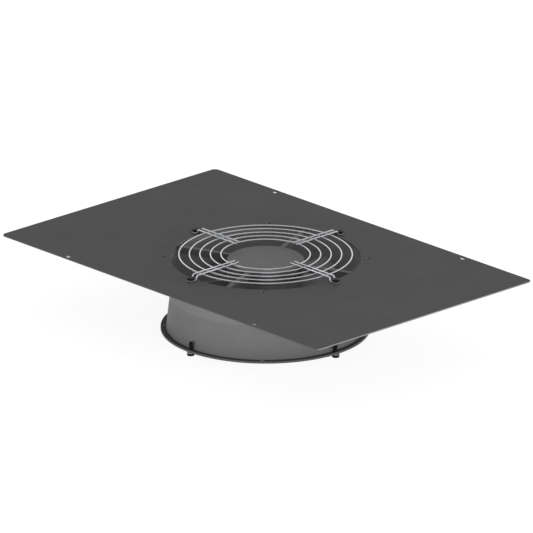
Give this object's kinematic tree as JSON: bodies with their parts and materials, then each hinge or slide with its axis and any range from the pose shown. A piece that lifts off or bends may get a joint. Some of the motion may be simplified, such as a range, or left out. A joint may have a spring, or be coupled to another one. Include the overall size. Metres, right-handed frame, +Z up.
{
  "type": "rack fan tray",
  "caption": "Flat rack roof plate with a round axial fan hung beneath it, and a guard of concentric wire rings over each side of the fan.",
  "frame": {"origin": "on the fan's axis in the plate's underside, the face that seats on the rack's roof", "axes": "+X along the plate's long side, +Y along its short side, +Z up, the way the air leaves"},
  "size_m": [0.5588, 0.3556, 0.1046],
  "materials": {
    "black_powder_coat": "fine satin powder coat",
    "grey_casting": "satin grey coat on die cast aluminium",
    "bright_wire": "bright nickel plate",
    "black_steel": "black oxide",
    "black_plastic": "moulded, slightly textured",
    "grey_plastic": "moulded, slightly textured",
    "tinned_brass": "bright",
    "copper": "enamelled winding wire and shading copper",
    "lamination_steel": "stamped edges",
    "cage_aluminium": "as cast",
    "drawn_steel": "drawn and zinc plated",
    "ground_steel": "ground",
    "bronze": "sintered, oil filled",
    "felt": "wool felt",
    "lead_insulation": "extruded"
  },
  "bodies": {
    "tray": {"cover_plate": "black_powder_coat", "fan_housing": "grey_casting", "terminal_block": "black_plastic", "terminal_tabs": "tinned_brass", "motor_leads": "lead_insulation", "bearing_tube": "ground_steel", "upper_bearing": "bronze", "lower_bearing": "bronze", "oil_wick": "felt", "upper_thrust_washer": "bronze", "lower_thrust_washer": "bronze", "stator_core": "lamination_steel", "stator_coils": "copper", "shading_rings": "copper", "upper_guard_rings": "bright_wire", "upper_guard_spokes": "bright_wire", "upper_guard_screws": "black_steel", "lower_guard_rings": "bright_wire", "lower_guard_spokes": "bright_wire", "lower_guard_screws": "black_steel"},
    "rotor": {"shaft": "ground_steel", "retaining_clip": "drawn_steel", "rotor_cup": "drawn_steel", "rotor_laminations": "lamination_steel", "rotor_cage": "cage_aluminium", "impeller": "grey_plastic", "impeller_screws": "black_steel"}
  },
  "joints": [
    {"name": "impeller_spin", "type": "hinge", "parent": "tray", "child": "rotor", "pos_m": [0, 0, -0.046], "axis": [0, 0, 1], "continuous": true}
  ]
}
